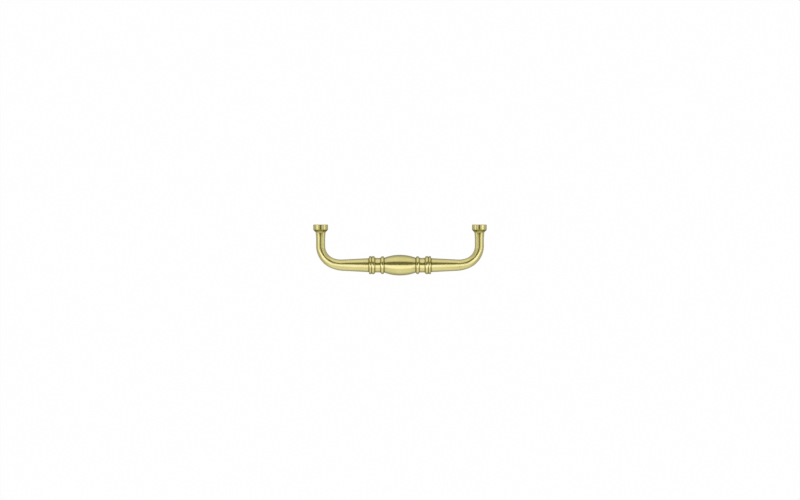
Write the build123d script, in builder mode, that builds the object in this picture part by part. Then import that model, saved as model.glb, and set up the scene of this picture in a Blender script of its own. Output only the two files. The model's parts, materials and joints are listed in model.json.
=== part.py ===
import os
from math import cos, radians, sin, tan

from build123d import *

# Bar pull for a drawer or cabinet front, cast in brass as one piece and turned along its grip.
# The origin is midway between the two screw holes, on the plane where the feet seat. X runs along
# the bar, the pull stands out of the front towards -Y, and +Z is up. Sizes are in millimetres.

# Stance
hole_spacing = 101.6  # four inches between the screws
bar_reach = 26.0  # from the seat to the axis of the bar
bend_radius = 12.0  # centre line of each bend, where it leaves the leg
ease_radius = 19.0  # and where it opens out into the bar
ease_angle = 20.0  # degrees at the end of the turn that have the wider radius

# Feet and legs
foot_d = 9.5
foot_land = 3.4  # straight side of the foot, with its rounded edges
seat_round = 0.4
shoulder_round = 0.4
foot_taper = 1.6  # height of the cone below the land
neck_swell = 0.3  # how far the leg stands out where that cone meets it
flare_length = 5.6  # the swell dies away over this length of leg
leg_d = 5.8

# Arms, which thicken through the bend and on to the grip
arm_start_d = 7.3
arm_end_d = 9.0
arm_root_round = 0.3  # fillet where the arm meets the outer ring

# Grip, from the arms inwards
ring_d = 11.7
outer_ring_width = 1.6
inner_ring_width = 2.1
collar_width = 3.9
collar_end_d = 9.7
collar_waist_d = 9.3
bead_d = 11.5
bead_width = 2.0
crown_height = 0.38  # how far each ring and bead is rounded above its straight sides
barrel_length = 20.5
barrel_end_d = 9.5
barrel_d = 13.3

# Screw holes, drilled for a number 8-32 thread
tap_drill_d = 3.454
mouth_chamfer = 0.37
hole_depth = 11.5  # from the seat to the end of the straight wall
drill_point_angle = 118.0

leg_x = hole_spacing / 2
leg_axis = Axis((leg_x, 0, 0), (0, 1, 0))
leg_plane = Plane((leg_x, 0, 0))
bar_axis = Axis((0, -bar_reach, 0), (1, 0, 0))
bar_plane = Plane((0, -bar_reach, 0))

# Where the bend leaves the leg and where it comes into the bar
turn = radians(90 - ease_angle)
bend_start_y = bend_radius * sin(turn) + ease_radius * (1 - sin(turn)) - bar_reach
arm_start = leg_x - bend_radius * (1 - cos(turn)) - ease_radius * cos(turn)

# Where each feature of the grip ends, going out from the middle
barrel_end = barrel_length / 2
bead_end = barrel_end + bead_width
collar_end = bead_end + collar_width
inner_ring_end = collar_end + inner_ring_width
grip_end = inner_ring_end + outer_ring_width


def crown(start, width, diameter):
    """The rounded top of a turned ring, from start outwards along the bar."""
    side_r = diameter / 2 - crown_height
    return ThreePointArc(
        (start, side_r),
        (start + width / 2, diameter / 2),
        (start + width, side_r),
    )


# The right half is modelled, then mirrored
with BuildPart() as pull:
    # Foot and leg, turned about the screw's axis
    with BuildSketch(leg_plane) as foot:
        neck_y = -foot_land - foot_taper
        neck = (leg_d / 2 + neck_swell, neck_y)
        with BuildLine():
            side = Polyline((0, 0), (foot_d / 2, 0), (foot_d / 2, -foot_land), neck)
            flare = TangentArc((leg_d / 2, neck_y - flare_length), neck, tangent=(0, 1))
            Polyline(flare @ 0, (leg_d / 2, bend_start_y), (0, bend_start_y), side @ 0)
        make_face()
        fillet(foot.vertices().group_by(Axis.X)[-1].sort_by(Axis.Y)[-1], seat_round)
        fillet(foot.vertices().group_by(Axis.X)[-1].sort_by(Axis.Y)[0], shoulder_round)
    revolve(axis=leg_axis)

    # Bend, swept through round sections that grow with the square of the distance from the leg
    with BuildLine() as bend:
        tight = JernArc((leg_x, bend_start_y), (0, -1), bend_radius, ease_angle - 90)
        JernArc(tight @ 1, tight % 1, ease_radius, -ease_angle)
    centre_line = bend.wire()
    for share in (0, 0.5, 1):
        with BuildSketch(centre_line ^ share):
            Circle((leg_d + share**2 * (arm_start_d - leg_d)) / 2)
    sweep(path=centre_line, multisection=True)

    # Grip and arm, turned about the bar's axis
    with BuildSketch(bar_plane) as turning:
        arm_root = (grip_end, arm_end_d / 2)
        with BuildLine():
            barrel = TangentArc((0, barrel_d / 2), (barrel_end, barrel_end_d / 2), tangent=(1, 0))
            bead = crown(barrel_end, bead_width, bead_d)
            collar = ThreePointArc(
                (bead_end, collar_end_d / 2),
                ((bead_end + collar_end) / 2, collar_waist_d / 2),
                (collar_end, collar_end_d / 2),
            )
            inner_ring = crown(collar_end, inner_ring_width, ring_d)
            outer_ring = crown(inner_ring_end, outer_ring_width, ring_d)
            Line(barrel @ 1, bead @ 0)
            Line(bead @ 1, collar @ 0)
            Line(collar @ 1, inner_ring @ 0)
            arm = Polyline(outer_ring @ 1, arm_root, (arm_start, arm_start_d / 2))
            Polyline(arm @ 1, (arm_start, 0), (0, 0), barrel @ 0)
        make_face()
        fillet(turning.vertices().sort_by_distance((*arm_root, 0))[0], arm_root_round)
    revolve(axis=bar_axis)

    # Blind screw hole: chamfered mouth, straight wall for the thread, and the drill's point
    wall_r = tap_drill_d / 2
    point_depth = hole_depth + wall_r / tan(radians(drill_point_angle / 2))
    with BuildSketch(leg_plane):
        with BuildLine():
            Polyline(
                (0, 0),
                (wall_r + mouth_chamfer, 0),
                (wall_r, -mouth_chamfer),
                (wall_r, -hole_depth),
                (0, -point_depth),
                close=True,
            )
        make_face()
    revolve(axis=leg_axis, mode=Mode.SUBTRACT)

    mirror(about=Plane.YZ)

pull.part.label = "pull"

os.makedirs("parts", exist_ok=True)
export_step(pull.part, "parts/pull.step")
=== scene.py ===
import json
import math

import bmesh
import bpy
from mathutils import Matrix, Vector


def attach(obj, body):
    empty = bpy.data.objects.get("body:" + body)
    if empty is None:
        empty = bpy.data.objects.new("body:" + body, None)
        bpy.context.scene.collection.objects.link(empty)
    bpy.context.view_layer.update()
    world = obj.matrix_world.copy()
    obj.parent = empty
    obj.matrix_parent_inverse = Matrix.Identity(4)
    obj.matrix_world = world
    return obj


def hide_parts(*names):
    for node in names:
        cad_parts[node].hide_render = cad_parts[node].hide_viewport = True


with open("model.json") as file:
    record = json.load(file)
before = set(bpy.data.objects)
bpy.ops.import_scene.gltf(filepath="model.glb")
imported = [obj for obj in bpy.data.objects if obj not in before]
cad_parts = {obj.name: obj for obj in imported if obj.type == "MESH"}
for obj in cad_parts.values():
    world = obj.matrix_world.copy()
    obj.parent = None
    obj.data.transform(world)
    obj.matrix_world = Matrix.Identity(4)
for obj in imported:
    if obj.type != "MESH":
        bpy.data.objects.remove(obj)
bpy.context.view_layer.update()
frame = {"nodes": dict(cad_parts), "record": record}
scene = bpy.context.scene
scene.view_settings.view_transform = "Standard"

mm = 0.001
weld = 1e-6  # metres
mirrorWeld = 1e-7
nearEnough = 0.01  # millimetres, to find points by their place
screwHoles = [mount for mount in frame["record"]["mounts"] if mount["name"] == "screw_holes"][0]
print("frame loaded:", ", ".join(frame["nodes"]))


# the pull

pull = {  # millimetres, as in the solid
    "holeSpacing": screwHoles["dims"]["spacing_x_mm"],
    "barReach": 26.0,
    "bendRadius": 12.0,
    "easeRadius": 19.0,  # the bend opens out towards the bar
    "easeAngle": 20.0,
    "footRadius": 4.75,
    "footLand": 3.4,
    "footTaper": 1.6,
    "neckSwell": 0.3,
    "flareLength": 5.6,
    "legRadius": 2.9,
    "armStartRadius": 3.65,
    "armEndRadius": 4.5,
    "ringRadius": 5.85,
    "outerRing": 1.6,
    "innerRing": 2.1,
    "collar": 3.9,
    "collarEndRadius": 4.85,
    "collarDip": 0.2,
    "beadRadius": 5.75,
    "bead": 2.0,
    "crown": 0.38,
    "barrel": 20.5,
    "barrelRadius": 6.65,
    "barrelEndRadius": 4.75,
    "seatRound": (0.4, 6),  # width and steps of each round
    "shoulderRound": (0.17, 5),
    "neckRound": (0.12, 3),
    "mouthRound": (0.06, 2),
    "rootRound": (0.16, 4),  # hollow left by the turning tool in each corner
    "edgeRound": (0.12, 3),  # edges softened by the buffing wheel
    "grooveRound": (0.08, 3),  # between the two rings
    "segments": 96,
    "flareSteps": 8,
    "bendSteps": 32,
    "armSteps": 12,
    "armGrowth": 1.27,  # each step along the arm is longer than the last, going away from the ring
    "crownSteps": 7,
    "collarSteps": 5,
    "barrelSteps": 20,
    "sharpAngle": 38.0,
}

thread = {  # number 8-32, cut right-handed in both feet
    "tapRadius": screwHoles["dims"]["hole_r_mm"],
    "majorRadius": 2.083,
    "pitch": 25.4 / 32,
    "flankSlope": 1.6,
    "ringsPerTurn": 10,
    "mouth": 0.37,
    "leadIn": 0.25,
    "wallEnd": 11.5,
    "runOut": 1.4,  # left uncut at the bottom
    "fadeOut": 0.8,
    "pointAngle": 118.0,
}

# places on the right half, in millimetres
legX = pull["holeSpacing"] / 2
barY = -pull["barReach"]
neckY = -pull["footLand"] - pull["footTaper"]
neckRadius = pull["legRadius"] + pull["neckSwell"]
mouthRadius = thread["tapRadius"] + thread["mouth"]

bendTurn = math.radians(90 - pull["easeAngle"])
bendDrop = pull["bendRadius"] * math.sin(bendTurn) + pull["easeRadius"] * (1 - math.sin(bendTurn))
bendStartY = bendDrop - pull["barReach"]
tightRun = pull["bendRadius"] * (1 - math.cos(bendTurn))
armStartX = legX - tightRun - pull["easeRadius"] * math.cos(bendTurn)
bendCentre = (legX - pull["bendRadius"], bendStartY)
easeCentre = (armStartX, pull["easeRadius"] - pull["barReach"])
bendLength = pull["bendRadius"] * bendTurn
easeLength = pull["easeRadius"] * math.radians(pull["easeAngle"])

barrelEndX = pull["barrel"] / 2
beadEndX = barrelEndX + pull["bead"]
collarEndX = beadEndX + pull["collar"]
innerRingEndX = collarEndX + pull["innerRing"]
gripEndX = innerRingEndX + pull["outerRing"]
armTaper = (pull["armEndRadius"] - pull["armStartRadius"]) / (armStartX - gripEndX)

ringSideRadius = pull["ringRadius"] - pull["crown"]
beadSideRadius = pull["beadRadius"] - pull["crown"]
gripRoots = [(gripEndX, pull["armEndRadius"]), (collarEndX, pull["collarEndRadius"]),
             (beadEndX, pull["collarEndRadius"]), (barrelEndX, pull["barrelEndRadius"])]
gripSides = [(gripEndX, ringSideRadius), (collarEndX, ringSideRadius),
             (beadEndX, beadSideRadius), (barrelEndX, beadSideRadius)]


def arcSteps(reach, rise, steps):  # even steps along a circular arc, from its top out to reach
    radius = (reach * reach + rise * rise) / (2 * rise)
    widest = math.asin(reach / radius)
    angles = [widest * step / steps for step in range(steps + 1)]
    return [(radius * math.sin(angle), radius * (1 - math.cos(angle))) for angle in angles]


def crownRings(innerX, width, topRadius):  # a turned ring's rounded top, from its outer edge inwards
    half = arcSteps(width / 2, pull["crown"], pull["crownSteps"])
    middleX = innerX + width / 2
    outer = [(middleX + reach, topRadius - drop) for reach, drop in reversed(half)]
    return outer + [(middleX - reach, topRadius - drop) for reach, drop in half[1:]]


def legRings():  # (y, radius) from the thread's end up the hole, over the seat and down the leg
    holeEnd, tapRadius = -thread["wallEnd"], thread["tapRadius"]
    wallRun = thread["wallEnd"] - thread["mouth"]
    wallSteps = round(wallRun / thread["pitch"] * thread["ringsPerTurn"])
    rings = [(holeEnd + wallRun * step / wallSteps, tapRadius) for step in range(1, wallSteps)]
    rings += [(-thread["mouth"], tapRadius), (0, mouthRadius)]
    rings += [(0, pull["footRadius"]), (-pull["footLand"], pull["footRadius"])]
    flareEndY = neckY - pull["flareLength"]
    flare = arcSteps(pull["flareLength"], pull["neckSwell"], pull["flareSteps"])
    rings += [(flareEndY + reach, pull["legRadius"] + rise) for reach, rise in reversed(flare)]
    rings += [((flareEndY + bendStartY) / 2, pull["legRadius"]), (bendStartY, pull["legRadius"])]
    return rings


def bendRings():  # (x, y, turn, radius), thicker with the square of the distance from the leg
    rings = []
    for step in range(1, pull["bendSteps"] + 1):
        share = step / pull["bendSteps"]
        run = share * (bendLength + easeLength)
        if run < bendLength:
            centreX, centreY = bendCentre
            bend = pull["bendRadius"]
            turn = run / bend
        else:
            centreX, centreY = easeCentre
            bend = pull["easeRadius"]
            turn = bendTurn + (run - bendLength) / bend
        radius = pull["legRadius"] + share * share * (pull["armStartRadius"] - pull["legRadius"])
        rings.append((centreX + bend * math.cos(turn), centreY - bend * math.sin(turn), turn, radius))
    return rings


def gripRings():  # (x, radius) from the arm's thin end to the middle of the barrel
    growth, steps = pull["armGrowth"], pull["armSteps"]
    spacing = (armStartX - gripEndX) / (growth ** steps - 1)
    reaches = [spacing * (growth ** step - 1) for step in range(steps - 1, -1, -1)]
    rings = [(gripEndX + reach, pull["armEndRadius"] - armTaper * reach) for reach in reaches]
    rings += crownRings(innerRingEndX, pull["outerRing"], pull["ringRadius"])
    rings += crownRings(collarEndX, pull["innerRing"], pull["ringRadius"])[1:]
    dip = arcSteps(pull["collar"] / 2, pull["collarDip"], pull["collarSteps"])
    middleX = (beadEndX + collarEndX) / 2
    waist = pull["collarEndRadius"] - pull["collarDip"]
    rings += [(middleX + reach, waist + rise) for reach, rise in reversed(dip)]
    rings += [(middleX - reach, waist + rise) for reach, rise in dip[1:]]
    rings += crownRings(barrelEndX, pull["bead"], pull["beadRadius"])
    barrel = arcSteps(barrelEndX, pull["barrelRadius"] - pull["barrelEndRadius"], pull["barrelSteps"])
    rings += [(reach, pull["barrelRadius"] - drop) for reach, drop in reversed(barrel)]
    return rings


def ringPlace(x, y, turn, radius):  # a unit circle put across the centre line
    outward = (math.cos(turn), -math.sin(turn), 0)
    onward = (-math.sin(turn), -math.cos(turn), 0)
    facing = Matrix((outward, (0, 0, 1), onward)).transposed().to_4x4()
    return Matrix.Translation((x * mm, y * mm, 0)) @ facing @ Matrix.Scale(radius * mm, 4)


def extrudeRings(bm):  # from the drill's point to the middle of the barrel, ring by ring
    tapRadius, holeEnd = thread["tapRadius"], -thread["wallEnd"]
    pointLength = tapRadius / math.tan(math.radians(thread["pointAngle"] / 2))
    bmesh.ops.create_cone(bm, segments=pull["segments"], radius1=tapRadius, radius2=0,
                          depth=pointLength, cap_ends=False,
                          matrix=ringPlace(legX, holeEnd - pointLength / 2, 0, 1))
    bmesh.ops.remove_doubles(bm, verts=bm.verts[:], dist=weld)

    path = [(legX, y, 0, radius) for y, radius in legRings()] + bendRings()
    path += [(x, barY, math.pi / 2, radius) for x, radius in gripRings()]
    rings = []
    edges = [edge for edge in bm.edges if edge.is_boundary]
    last = ringPlace(legX, holeEnd, 0, tapRadius)
    for spot in path:
        made = bmesh.ops.extrude_edge_only(bm, edges=edges)["geom"]
        verts = {item for item in made if isinstance(item, bmesh.types.BMVert)}
        place = ringPlace(*spot)
        bmesh.ops.transform(bm, matrix=place @ last.inverted(), verts=list(verts))
        edges = [item for item in made
                 if isinstance(item, bmesh.types.BMEdge) and verts.issuperset(item.verts)]
        rings.append((spot, edges))
        last = place
    return rings


def roundEdges(bm, rings):
    def roundRing(x, y, radius, width, steps):  # rounds the edge ring at that place
        near = [edges for (ringX, ringY, turn, ringRadius), edges in rings
                if max(abs(ringX - x), abs(ringY - y), abs(ringRadius - radius)) < nearEnough]
        bmesh.ops.bevel(bm, geom=near[0], offset=width * mm, offset_type="OFFSET", affect="EDGES",
                        segments=steps, profile=0.5, material=-1, clamp_overlap=True)

    roundRing(legX, 0, pull["footRadius"], *pull["seatRound"])
    roundRing(legX, -pull["footLand"], pull["footRadius"], *pull["shoulderRound"])
    roundRing(legX, neckY, neckRadius, *pull["neckRound"])
    roundRing(legX, 0, mouthRadius, *pull["mouthRound"])
    for x, radius in gripRoots:
        roundRing(x, barY, radius, *pull["rootRound"])
    for x, radius in gripSides:
        roundRing(x, barY, radius, *pull["edgeRound"])
    roundRing(innerRingEndX, barY, ringSideRadius, *pull["grooveRound"])


def cutThread(bm):
    depth = thread["majorRadius"] - thread["tapRadius"]
    top, bottom = -thread["mouth"], thread["runOut"] - thread["wallEnd"]
    for vert in bm.verts:
        y = vert.co.y / mm
        holeX = math.copysign(legX, vert.co.x)
        across, up = vert.co.x / mm - holeX, vert.co.z / mm
        radius = math.hypot(across, up)
        if abs(radius - thread["tapRadius"]) > nearEnough or not bottom < y < top - nearEnough:
            continue
        phase = (y / thread["pitch"] - math.atan2(across, up) / (2 * math.pi)) % 1.0
        groove = 0.5 + thread["flankSlope"] * (0.5 - abs(2 * phase - 1))
        groove = min(1.0, max(0.0, groove))  # flat crest and flat root
        fade = min(1.0, (top - y) / thread["leadIn"], (y - bottom) / thread["fadeOut"])
        scale = (radius + depth * groove * fade) / radius
        vert.co.x = (holeX + across * scale) * mm
        vert.co.z = up * scale * mm


def orderFaces(bm):  # extruding lists new faces in no fixed order, and this gives them one
    bm.verts.index_update()
    count = len(bm.verts)

    def rank(face):
        low, middle, high = sorted(vert.index for vert in face.verts)[:3]
        return (low * count + middle) * count + high

    bm.faces.sort(key=rank)


def makePull():
    bm = bmesh.new()
    roundEdges(bm, extrudeRings(bm))
    half = bm.verts[:] + bm.edges[:] + bm.faces[:]
    bmesh.ops.mirror(bm, geom=half, merge_dist=mirrorWeld, axis="X")
    bmesh.ops.remove_doubles(bm, verts=bm.verts[:], dist=weld)
    bmesh.ops.recalc_face_normals(bm, faces=bm.faces[:])
    cutThread(bm)
    orderFaces(bm)
    markSurface(bm)
    for face in bm.faces:
        face.smooth = True
    sharpest = math.radians(pull["sharpAngle"])
    for edge in bm.edges:
        edge.smooth = not (edge.is_manifold and edge.calc_face_angle() > sharpest)

    mesh = bpy.data.meshes.new("pullCasting")
    bm.to_mesh(mesh)
    bm.free()
    piece = bpy.data.objects.new("pullCasting", mesh)
    scene.collection.objects.link(piece)
    evenNormals = piece.modifiers.new("evenNormals", "WEIGHTED_NORMAL")
    evenNormals.keep_sharp = True
    return piece


# shader nodes

def setInputs(tree, node, inputs):  # each is a fixed value, or a socket to link
    for slot, value in inputs.items():
        if isinstance(value, bpy.types.NodeSocket):
            tree.links.new(value, node.inputs[slot])
        else:
            node.inputs[slot].default_value = value


def addNode(tree, kind, inputs, **settings):
    node = tree.nodes.new("ShaderNode" + kind)
    for name, value in settings.items():
        setattr(node, name, value)
    setInputs(tree, node, inputs)
    return node


def addMath(tree, operation, *values):
    return addNode(tree, "Math", dict(enumerate(values)), operation=operation).outputs[0]


def addRange(tree, value, before, after=(0, 1), kind="SMOOTHSTEP"):
    inputs = {"Value": value, "From Min": before[0], "From Max": before[1],
              "To Min": after[0], "To Max": after[1]}
    return addNode(tree, "MapRange", inputs, interpolation_type=kind).outputs["Result"]


def mixNumbers(tree, share, first, second):
    return addNode(tree, "Mix", {0: share, 2: first, 3: second}, data_type="FLOAT").outputs[0]


def mixColours(tree, share, first, second):
    return addNode(tree, "Mix", {0: share, 6: first, 7: second}, data_type="RGBA").outputs[2]


# the brass

brass = {
    "light": (0.93, 0.845, 0.36, 1),
    "deep": (0.86, 0.765, 0.30, 1),
    # painted shade, darkening the creases, the cone under each foot and the screw holes
    "tarnish": (0.24, 0.20, 0.015, 1),
    "roughness": (0.15, 0.22),
    "lacquer": (0.4, 0.05),  # thinner where shade is painted into the creases
    "lacquerRoughness": 0.12,
    "cloud": (140, 4),  # scale and detail of each pattern
    "fine": (1500, 3),
    "lines": (5200, 3),
    "cloudSpan": (0.35, 0.65),  # of the cloud, from the light tone to the deep one
    "cloudShare": (0.35, 0.65),  # of the cloud in the polish, and the rest is lines
    "polishSpan": (0.3, 0.7),  # from the least roughness to the most
    "buffed": (1, 1, 0.035),  # lines drawn out along the arms and legs
    "turned": (0.03, 0.03, 1),  # and round the grip, by the lathe
    "turnedEdge": 0.4,  # millimetres
    "bump": 0.03,
    "bumpDepth": 0.02,
    "rootReach": 1.0,  # millimetres of painted shade out from each crease
    "grooveReach": 0.65,
    "armSideReach": 0.85,
    "collarSideReach": 0.5,
    "barrelSideReach": 0.7,
    "coneTop": (0.1, 2.7),  # painted shadow on the cone: from this far below the foot's shoulder, it goes at this rate upwards
    "coneEnd": (0.4, 1.5),  # and from this far above the neck, downwards
    "holeMargin": 0.02,  # painted shade, all dark to this far outside the thread
    "tarnishSpan": (0.1, 1),
    "fullTarnish": 0.95,
}


def centreLine(x, y):  # how far along the pull's centre line a point is, and how far off it
    side = abs(x)
    if y > bendStartY:
        return -y, side - legX
    turn = math.atan2(bendCentre[1] - y, side - bendCentre[0])
    if turn < bendTurn:
        away = math.hypot(side - bendCentre[0], y - bendCentre[1])
        return pull["bendRadius"] * turn - bendStartY, away - pull["bendRadius"]
    if side > armStartX:
        turn = math.atan2(easeCentre[1] - y, side - easeCentre[0])
        away = math.hypot(side - easeCentre[0], y - easeCentre[1])
        along = pull["easeRadius"] * (turn - bendTurn) + bendLength - bendStartY
        return along, away - pull["easeRadius"]
    return easeLength + bendLength - bendStartY + armStartX - side, -y - pull["barReach"]


def markSurface(bm):  # keeps each point's place along the grain, and how much shade is painted on it
    grain = bm.verts.layers.float_vector.new("grain")
    hollow = bm.verts.layers.float.new("hollow")
    # shade is painted beside each root, groove and ring side
    creases = [(x, radius, brass["rootReach"]) for x, radius in gripRoots]
    creases += [(innerRingEndX, ringSideRadius, brass["grooveReach"]),
                (gripEndX, ringSideRadius, brass["armSideReach"]),
                (collarEndX, ringSideRadius, brass["collarSideReach"]),
                (barrelEndX, beadSideRadius, brass["barrelSideReach"])]
    topStart, topRate = brass["coneTop"]
    endStart, endRate = brass["coneEnd"]
    for vert in bm.verts:
        x, y, z = vert.co / mm
        along, off = centreLine(x, y)
        vert[grain] = Vector((off, z, along)) * mm
        radius = math.hypot(off, z)
        near = min(math.hypot(abs(x) - creaseX, radius - creaseRadius) / reach
                   for creaseX, creaseRadius, reach in creases)
        # and painted shadow on the cone under the foot's shoulder
        aboveCone = (y + pull["footLand"] + topStart) * topRate
        belowCone = (neckY + endStart - y) * endRate
        near = min(near, max(0, aboveCone, belowCone))
        # the screw hole is painted all dark, as shade
        inHole = radius < thread["majorRadius"] + brass["holeMargin"]
        vert[hollow] = 1.0 if inHole else max(0.0, 1.0 - near)


def makeBrass():
    material = bpy.data.materials.new("satinBrass")
    material.use_nodes = True
    tree = material.node_tree
    place = addNode(tree, "TexCoord", {}).outputs["Object"]
    grain = addNode(tree, "Attribute", {}, attribute_name="grain").outputs["Vector"]
    hollow = addNode(tree, "Attribute", {}, attribute_name="hollow").outputs["Fac"]

    def pattern(vector, scale, detail):
        inputs = {"Vector": vector, "Scale": scale, "Detail": detail}
        return addNode(tree, "TexNoise", inputs).outputs["Fac"]

    def drawnOut(stretch):
        return addNode(tree, "Mapping", {"Vector": grain, "Scale": stretch}).outputs["Vector"]

    buffLines = pattern(drawnOut(brass["buffed"]), *brass["lines"])
    toolLines = pattern(drawnOut(brass["turned"]), *brass["lines"])
    side = addMath(tree, "ABSOLUTE", addNode(tree, "SeparateXYZ", {0: place}).outputs["X"])
    gripEdge = ((gripEndX + brass["turnedEdge"]) * mm, gripEndX * mm)
    lines = mixNumbers(tree, addRange(tree, side, gripEdge, kind="LINEAR"), buffLines, toolLines)
    cloud = pattern(place, *brass["cloud"])
    fine = pattern(place, *brass["fine"])

    # share of painted shade, read from the hollow attribute
    paintedShadeShare = addRange(tree, hollow, brass["tarnishSpan"], (0, brass["fullTarnish"]))
    shade = addRange(tree, cloud, brass["cloudSpan"], kind="LINEAR")
    tone = mixColours(tree, shade, brass["light"], brass["deep"])
    # the painted shade darkens the tone
    tone = mixColours(tree, paintedShadeShare, tone, brass["tarnish"])
    patch = addRange(tree, fine, (0, 1), brass["cloudShare"], "LINEAR")
    polish = mixNumbers(tree, patch, lines, cloud)
    bump = {"Strength": brass["bump"], "Distance": brass["bumpDepth"] * mm, "Height": lines}
    setInputs(tree, tree.nodes["Principled BSDF"], {
        "Base Color": tone,
        "Metallic": 1.0,
        "Roughness": addRange(tree, polish, brass["polishSpan"], brass["roughness"], "LINEAR"),
        "Normal": addNode(tree, "Bump", bump).outputs["Normal"],
        "Coat Weight": mixNumbers(tree, paintedShadeShare, *brass["lacquer"]),
        "Coat Roughness": brass["lacquerRoughness"],
    })
    return material


pullPiece = makePull()
pullPiece.data.materials.append(makeBrass())
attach(pullPiece, "root")
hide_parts("pull")
pullPiece.data.calc_loop_triangles()
print("pull made:", len(pullPiece.data.loop_triangles), "triangles")


# the studio

studio = {
    "floorDrop": 2.5,  # metres
    "floorRadius": 0.9,
    "floorSegments": 64,
    "white": (0.58, 0.75),  # the floor is white to the first radius and gone by the second
    "glow": 1.02,
    "glowShare": 0.96,  # the rest is paper that takes the shadow
    "paper": (0.9, 0.9, 0.9, 1),
    # height and level up the walls, and up those beyond the legs
    "walls": [(-0.77, 0.30), (-0.44, 0.44), (-0.31, 0.55), (0.0, 0.74), (0.3, 0.77)],
    "endWalls": [(-0.77, 0.32), (-0.5, 0.45), (-0.2, 0.48), (0.15, 0.50), (0.6, 0.56)],
    "endTurn": (0.35, 0.75),  # where the one goes over into the other
    "ceiling": (0.15, 0.14, 0.075, 1),  # unlit, seen between the lamps
    "ceilingFront": (-40, -32),  # degrees from overhead, where each edge starts to fade and ends
    "ceilingBack": (35, 43),
    "ceilingBow": 0.18,  # how much further back it reaches for each degree to the side
    "ceilingEnds": (45, 55),
    "waistFront": (-14, -8),  # overhead it is drawn in at the ends
    "waistBack": (3, 10),
    "waistPinch": 35,
}

coolWhite = (0.88, 0.89, 1.12)
plainWhite = (1, 1, 1)
lamps = {  # millimetres; all but the key come in pairs, and this is the right-hand one
    "key": {"at": (0, -35.8, 27), "size": (50, 20), "level": 1.1, "colour": coolWhite},
    "arm": {"at": (34.7, -31.6, 27), "size": (23.2, 21), "turn": 16, "level": 1.02, "colour": coolWhite},
    "bend": {"at": (63, -31.5, 27), "size": (34, 22), "level": 1.0, "colour": coolWhite},
    "hollow": {"at": (43.7, -16, 9), "size": (4, 3.4), "turn": -27, "level": 0.72, "colour": plainWhite},
    "end": {"at": (202, -8, 110), "aim": (51, -8, 0), "size": (95, 75), "level": 0.58,
            "colour": plainWhite},
}
flags = {  # dark cards, one behind the lamps over the grip and a low strip close behind each arm
    "grip": {"middle": (0, -33.2, 28), "size": (60, 26.6), "level": 1.0},
    "arm": {"middle": (29.75, -15.7, 12), "size": (17.5, 3.4), "level": 1.5},
}


def addStage(name, bm, material):
    mesh = bpy.data.meshes.new(name)
    bm.to_mesh(mesh)
    bm.free()
    mesh.materials.append(material)
    sheet = bpy.data.objects.new(name, mesh)
    scene.collection.objects.link(sheet)
    return sheet


def bareMaterial(name):
    material = bpy.data.materials.new(name)
    material.use_nodes = True
    nodes = material.node_tree.nodes
    nodes.remove(nodes["Principled BSDF"])
    return material


def makePaper():
    material = bareMaterial("whitePaper")
    tree = material.node_tree
    rays = addNode(tree, "LightPath", {}).outputs
    seen = rays["Is Camera Ray"]
    for name in ("Is Glossy Ray", "Is Transmission Ray"):
        seen = addMath(tree, "MAXIMUM", seen, rays[name])
    share = addMath(tree, "MULTIPLY", seen, studio["glowShare"])
    paper = addNode(tree, "BsdfDiffuse", {"Color": studio["paper"]}).outputs[0]
    glow = addNode(tree, "Emission", {"Strength": studio["glow"]}).outputs[0]
    lit = addNode(tree, "MixShader", {0: share, 1: paper, 2: glow}).outputs[0]

    place = addNode(tree, "TexCoord", {}).outputs["Object"]
    flat = addNode(tree, "VectorMath", {0: place, 1: (1, 1, 0)}, operation="MULTIPLY").outputs[0]
    reach = addNode(tree, "VectorMath", {0: flat}, operation="LENGTH").outputs["Value"]
    clear = addNode(tree, "BsdfTransparent", {}).outputs[0]
    fade = addRange(tree, reach, studio["white"])
    ends = addNode(tree, "MixShader", {0: fade, 1: lit, 2: clear}).outputs[0]
    setInputs(tree, tree.nodes["Material Output"], {"Surface": ends})
    return material


def makeFloor():
    bm = bmesh.new()
    bmesh.ops.create_circle(bm, segments=studio["floorSegments"], radius=studio["floorRadius"],
                            cap_ends=True, matrix=Matrix.Translation((0, 0, -studio["floorDrop"])))
    addStage("studioFloor", bm, makePaper())


def makeWorld():  # pale walls round the pull, and an unlit ceiling over it
    world = bpy.data.worlds.new("studioWorld")
    scene.world = world
    world.use_nodes = True
    tree = world.node_tree
    towards = addNode(tree, "TexCoord", {}).outputs["Generated"]
    axes = addNode(tree, "SeparateXYZ", {0: towards}).outputs
    height = addRange(tree, axes["Z"], (-1, 1), kind="LINEAR")

    def wallLevels(levels):
        node = addNode(tree, "ValToRGB", {0: height})
        stops = node.color_ramp.elements
        while len(stops) < len(levels):
            stops.new(0.5)
        for stop, (wallHeight, level) in zip(stops, levels):
            stop.position = (wallHeight + 1) / 2
            stop.color = (level, level, level, 1)
        return node.outputs["Color"]

    def past(angle, edge):  # 0 before the edge and 1 after it, or the reverse if its angles are swapped
        return addRange(tree, angle, [math.radians(degrees) for degrees in edge])

    def between(front, back):
        return addMath(tree, "SUBTRACT", front, back)

    toEnds = addRange(tree, addMath(tree, "ABSOLUTE", axes["X"]), studio["endTurn"])
    walls = mixColours(tree, toEnds, wallLevels(studio["walls"]), wallLevels(studio["endWalls"]))

    lean = addMath(tree, "ARCTAN2", axes["Y"], axes["Z"])
    aside = addMath(tree, "ABSOLUTE", addMath(tree, "ARCTAN2", axes["X"], axes["Z"]))
    bowed = addMath(tree, "MULTIPLY_ADD", aside, -studio["ceilingBow"], lean)
    inside = between(past(lean, studio["ceilingFront"]), past(bowed, studio["ceilingBack"]))
    waist = between(past(lean, studio["waistFront"]), past(lean, studio["waistBack"]))
    drawnIn = addMath(tree, "MULTIPLY_ADD", waist, math.radians(studio["waistPinch"]), aside)
    beforeEnds = past(drawnIn, studio["ceilingEnds"][::-1])
    inside = addMath(tree, "MULTIPLY", inside, beforeEnds)
    light = mixColours(tree, inside, walls, studio["ceiling"])
    setInputs(tree, tree.nodes["Background"], {"Color": light, "Strength": 1.0})


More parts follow.
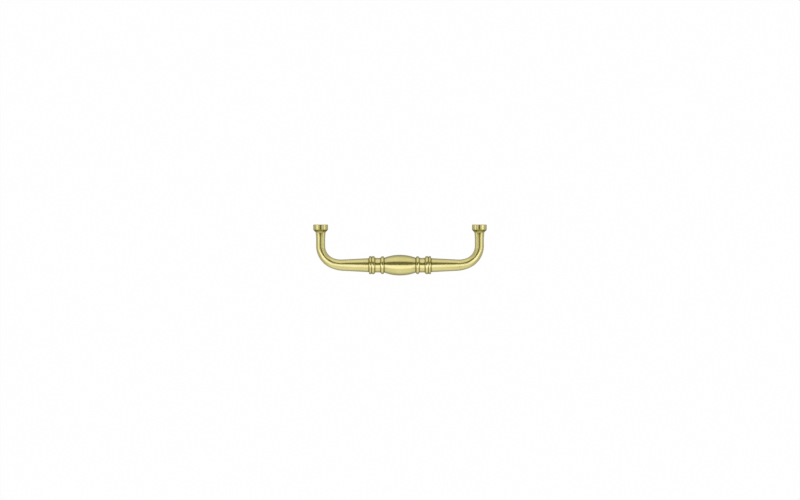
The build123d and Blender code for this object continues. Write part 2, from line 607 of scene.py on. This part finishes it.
def makeLamp(name, side):
    values = lamps[name]
    data = bpy.data.lights.new(name + "Lamp", "AREA")
    data.shape = "RECTANGLE"
    data.size, data.size_y = (length * mm for length in values["size"])
    data.energy = values["level"] * math.pi * data.size * data.size_y
    data.color = values["colour"]
    lamp = bpy.data.objects.new(name + "Lamp", data)
    mirrored = Vector((side, 1, 1)) * mm
    lamp.location = Vector(values["at"]) * mirrored
    straightDown = (*values["at"][:2], 0)
    facing = Vector(values.get("aim", straightDown)) * mirrored - lamp.location
    turn = Matrix.Rotation(math.radians(side * values.get("turn", 0)), 3, "Z")
    lamp.rotation_euler = (turn @ facing.to_track_quat("-Z", "Y").to_matrix()).to_euler()
    lamp.visible_camera = False
    scene.collection.objects.link(lamp)


def makeFlag(name, side):
    values = flags[name]
    material = bareMaterial("darkCard")
    tree = material.node_tree
    shade = addNode(tree, "Emission", {"Color": studio["ceiling"], "Strength": values["level"]})
    setInputs(tree, tree.nodes["Material Output"], {"Surface": shade.outputs[0]})

    bm = bmesh.new()
    middle = Matrix.Translation(Vector(values["middle"]) * Vector((side, 1, 1)) * mm)
    size = Matrix.Diagonal((*values["size"], 1, 1)) @ Matrix.Scale(mm / 2, 4)
    bmesh.ops.create_grid(bm, x_segments=1, y_segments=1, size=1, matrix=middle @ size)
    card = addStage("studioFlag", bm, material)
    card.visible_camera = False


makeFloor()
makeWorld()
makeLamp("key", 1)
makeFlag("grip", 1)
for side in (-1, 1):
    for lampName in ("arm", "bend", "hollow", "end"):
        makeLamp(lampName, side)
    makeFlag("arm", side)
print("floor and light set")


# the camera, straight down on the pull

view = {
    "lens": 200.0,
    "sensor": 36.0,
    "photoWidth": 800,
    "mmPerPixel": 0.64,
    "centreY": -16.3,
}

cameraData = bpy.data.cameras.new("camera")
cameraData.lens = view["lens"]
cameraData.sensor_width = view["sensor"]
camera = bpy.data.objects.new("camera", cameraData)
height = view["lens"] / view["sensor"] * view["photoWidth"] * view["mmPerPixel"] * mm
camera.location = (0, view["centreY"] * mm, height)
scene.collection.objects.link(camera)
scene.camera = camera
print("camera set")
